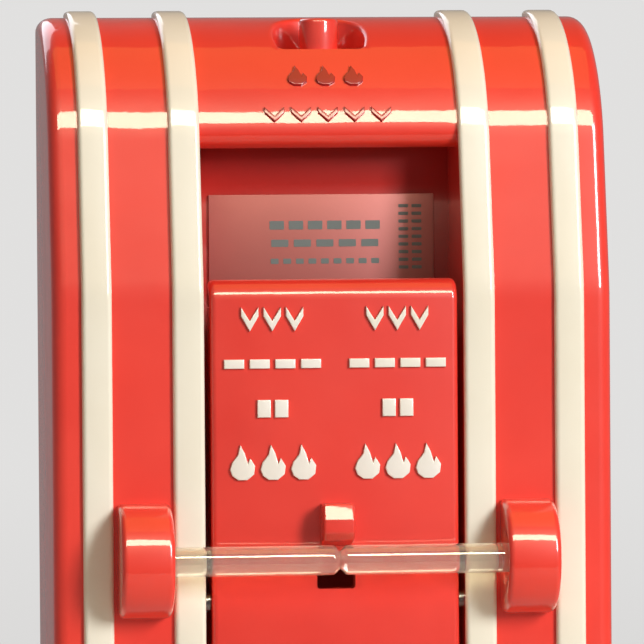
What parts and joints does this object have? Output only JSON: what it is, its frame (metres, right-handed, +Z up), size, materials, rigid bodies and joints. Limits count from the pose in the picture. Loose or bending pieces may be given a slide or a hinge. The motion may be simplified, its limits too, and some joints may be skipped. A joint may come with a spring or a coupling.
{
  "type": "manual fire alarm pull station",
  "caption": "Wall-mounted manual fire alarm pull station: red cast cover with cream strips, pull lever, break-glass rod and a hinged cover over a switch.",
  "frame": {"origin": "centre of the wall face, midway between the two wall screws", "axes": "+Z up, +X to the right seen from the front, +Y into the wall; the front faces -Y"},
  "size_m": [0.0834, 0.0515, 0.1169],
  "materials": {
    "red_enamel": "glossy red enamel on a zinc casting",
    "red_lever": "glossy red enamel on a zinc casting",
    "red_emboss": "the same enamel over raised shapes",
    "red_plate": "satin red paint on steel",
    "cream_enamel": "glossy cream enamel",
    "zinc_steel": "zinc plated",
    "bright_steel": "ground steel",
    "spring_steel": "spring steel",
    "brass_parts": "turned and pressed brass",
    "ground_green": "green dyed zinc plate",
    "label_foil": "satin printed foil",
    "switch_black": "moulded phenolic",
    "switch_grey": "moulded phenolic",
    "plunger_white": "moulded acetal",
    "rod_glass": "drawn glass rod"
  },
  "bodies": {
    "back_plate": {"back_plate": "zinc_steel", "hinge_pin": "bright_steel", "hinge_clips": "spring_steel", "ground_screw": "ground_green"},
    "front_cover": {"front_cover": "red_enamel", "strip_outer_left": "cream_enamel", "strip_outer_right": "cream_enamel", "strip_inner_left": "cream_enamel", "strip_inner_right": "cream_enamel", "brow_symbols": "red_emboss", "inner_plate": "red_plate", "inner_plate_screws": "zinc_steel", "label_plate": "label_foil", "lever_pin": "bright_steel", "lever_pin_clips": "spring_steel", "hold_spring": "spring_steel", "hold_spring_screw": "zinc_steel", "switch_body": "switch_black", "switch_back_cover": "switch_grey", "switch_screws": "zinc_steel", "plunger_spring": "spring_steel", "terminal_plates": "brass_parts", "terminal_screws": "brass_parts", "screw_retainer": "spring_steel"},
    "cover_screw": {"cover_screw": "red_enamel", "clamp_nut": "brass_parts"},
    "pull_lever": {"pull_lever": "red_lever", "lever_symbols": "cream_enamel", "lever_strike": "zinc_steel", "lever_strike_rivets": "zinc_steel"},
    "switch_plunger": {"switch_plunger": "plunger_white"},
    "glass_rod_left": {"glass_rod_left": "rod_glass"},
    "glass_rod_right": {"glass_rod_right": "rod_glass"}
  },
  "joints": [
    {"name": "cover_hinge", "type": "hinge", "parent": "back_plate", "child": "front_cover", "pos_m": [0, -0.0055, -0.0515], "axis": [1, 0, 0], "range_deg": [0, 70]},
    {"name": "cover_screw_turn", "type": "hinge", "parent": "front_cover", "child": "cover_screw", "pos_m": [0, -0.013, 0.05], "axis": [0, 0, 1], "range_deg": [0, 360]},
    {"name": "lever_pull", "type": "hinge", "parent": "front_cover", "child": "pull_lever", "pos_m": [0, -0.0215, -0.03], "axis": [1, 0, 0], "range_deg": [0, 35]},
    {"name": "plunger_slide", "type": "slide", "parent": "front_cover", "child": "switch_plunger", "axis": [0, -1, 0], "range_m": [0, 0.0025]},
    {"name": "rod_left_part", "type": "hinge", "parent": "front_cover", "child": "glass_rod_left", "pos_m": [-0.0246, -0.034, -0.0231], "axis": [0, 0, -1], "range_deg": [0, 48]},
    {"name": "rod_right_part", "type": "hinge", "parent": "front_cover", "child": "glass_rod_right", "pos_m": [0.0246, -0.034, -0.0231], "axis": [0, 0, 1], "range_deg": [0, 48]}
  ],
  "couplings": [
    {"joint": "plunger_slide", "follows": "lever_pull", "m_per_rad": 0.00409},
    {"joint": "rod_left_part", "follows": "lever_pull", "ratio": 1.371},
    {"joint": "rod_right_part", "follows": "lever_pull", "ratio": 1.371}
  ]
}
